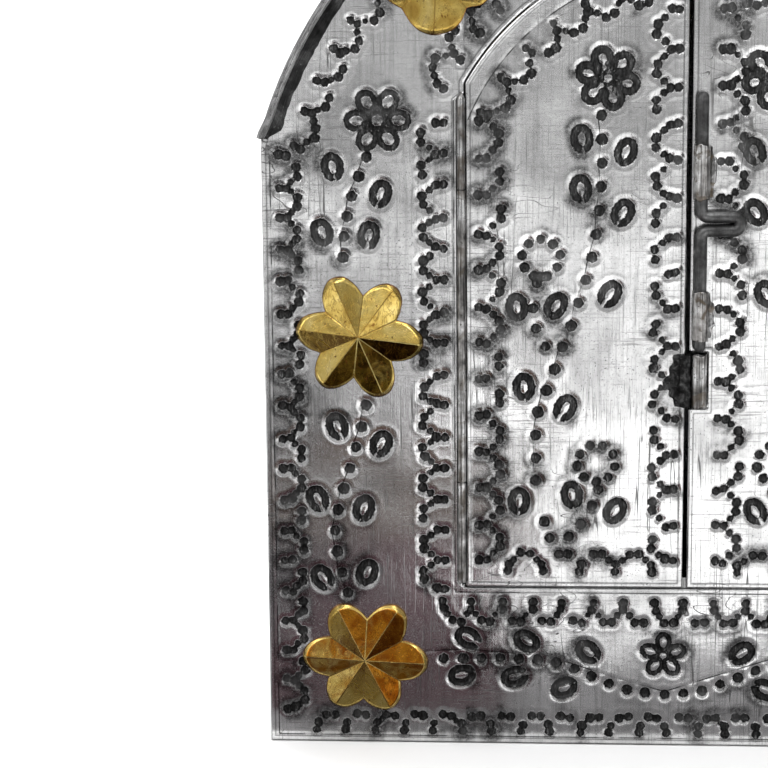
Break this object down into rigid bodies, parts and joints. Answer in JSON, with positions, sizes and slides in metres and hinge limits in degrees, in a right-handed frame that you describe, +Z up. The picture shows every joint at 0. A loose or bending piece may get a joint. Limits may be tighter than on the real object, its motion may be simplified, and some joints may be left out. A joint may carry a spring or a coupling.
{
  "type": "tabernacle box",
  "caption": "Arched punched-tin tabernacle box with a pair of hinged doors, a wire slide bolt, a rolled roof edge and embossed brass flowers; stands on its flat base.",
  "frame": {"origin": "middle of the underside, midway between the side walls and between the front and back panels", "axes": "+Z up, +X to the viewer's right, and the doors face -Y"},
  "size_m": [0.2112, 0.085, 0.2337],
  "materials": {
    "punched_tin": "aged tin plate, hand punched, dark patina in the marks, wiped bright on the high places",
    "plain_tin": "aged tin plate, wiped satin with fine scratches",
    "solder": "lumpy dark patinated soft solder",
    "dark_wire": "dark grey oxidised steel wire, slightly shiny",
    "brass_flower": "embossed sheet brass, mirror-like facets with brown tarnish at the edges"
  },
  "bodies": {
    "case": {"front_panel": "punched_tin", "back_panel": "plain_tin", "floor_panel": "plain_tin", "left_side_wall": "plain_tin", "right_side_wall": "plain_tin", "roof": "plain_tin", "rim_bead": "plain_tin", "rim_wire": "dark_wire", "rim_solder": "solder", "seam_solder": "solder", "sill_stop": "plain_tin", "head_stop": "plain_tin", "left_hinge_pin": "dark_wire", "right_hinge_pin": "dark_wire", "left_upper_frame_knuckle": "plain_tin", "left_lower_frame_knuckle": "plain_tin", "right_upper_frame_knuckle": "plain_tin", "right_lower_frame_knuckle": "plain_tin", "upper_left_flower": "brass_flower", "middle_left_flower": "brass_flower", "lower_left_flower": "brass_flower", "upper_right_flower": "brass_flower", "middle_right_flower": "brass_flower", "lower_right_flower": "brass_flower"},
    "left_door": {"left_door": "punched_tin", "left_door_knuckle": "plain_tin", "bolt_keeper": "plain_tin", "keeper_solder": "solder"},
    "right_door": {"right_door": "punched_tin", "right_door_knuckle": "plain_tin", "upper_bolt_sleeve": "plain_tin", "lower_bolt_sleeve": "plain_tin", "sleeve_solder": "solder"},
    "bolt": {"sliding_bolt": "dark_wire"}
  },
  "joints": [
    {"name": "left_door_hinge", "type": "hinge", "parent": "case", "child": "left_door", "pos_m": [-0.0557, -0.0407, 0.1], "axis": [0, 0, -1], "range_deg": [0, 160]},
    {"name": "right_door_hinge", "type": "hinge", "parent": "case", "child": "right_door", "pos_m": [0.0557, -0.0407, 0.1], "axis": [0, 0, 1], "range_deg": [0, 160]},
    {"name": "bolt_slide", "type": "slide", "parent": "right_door", "child": "bolt", "axis": [0, 0, -1], "range_m": [-0.0018, 0.0125]}
  ]
}
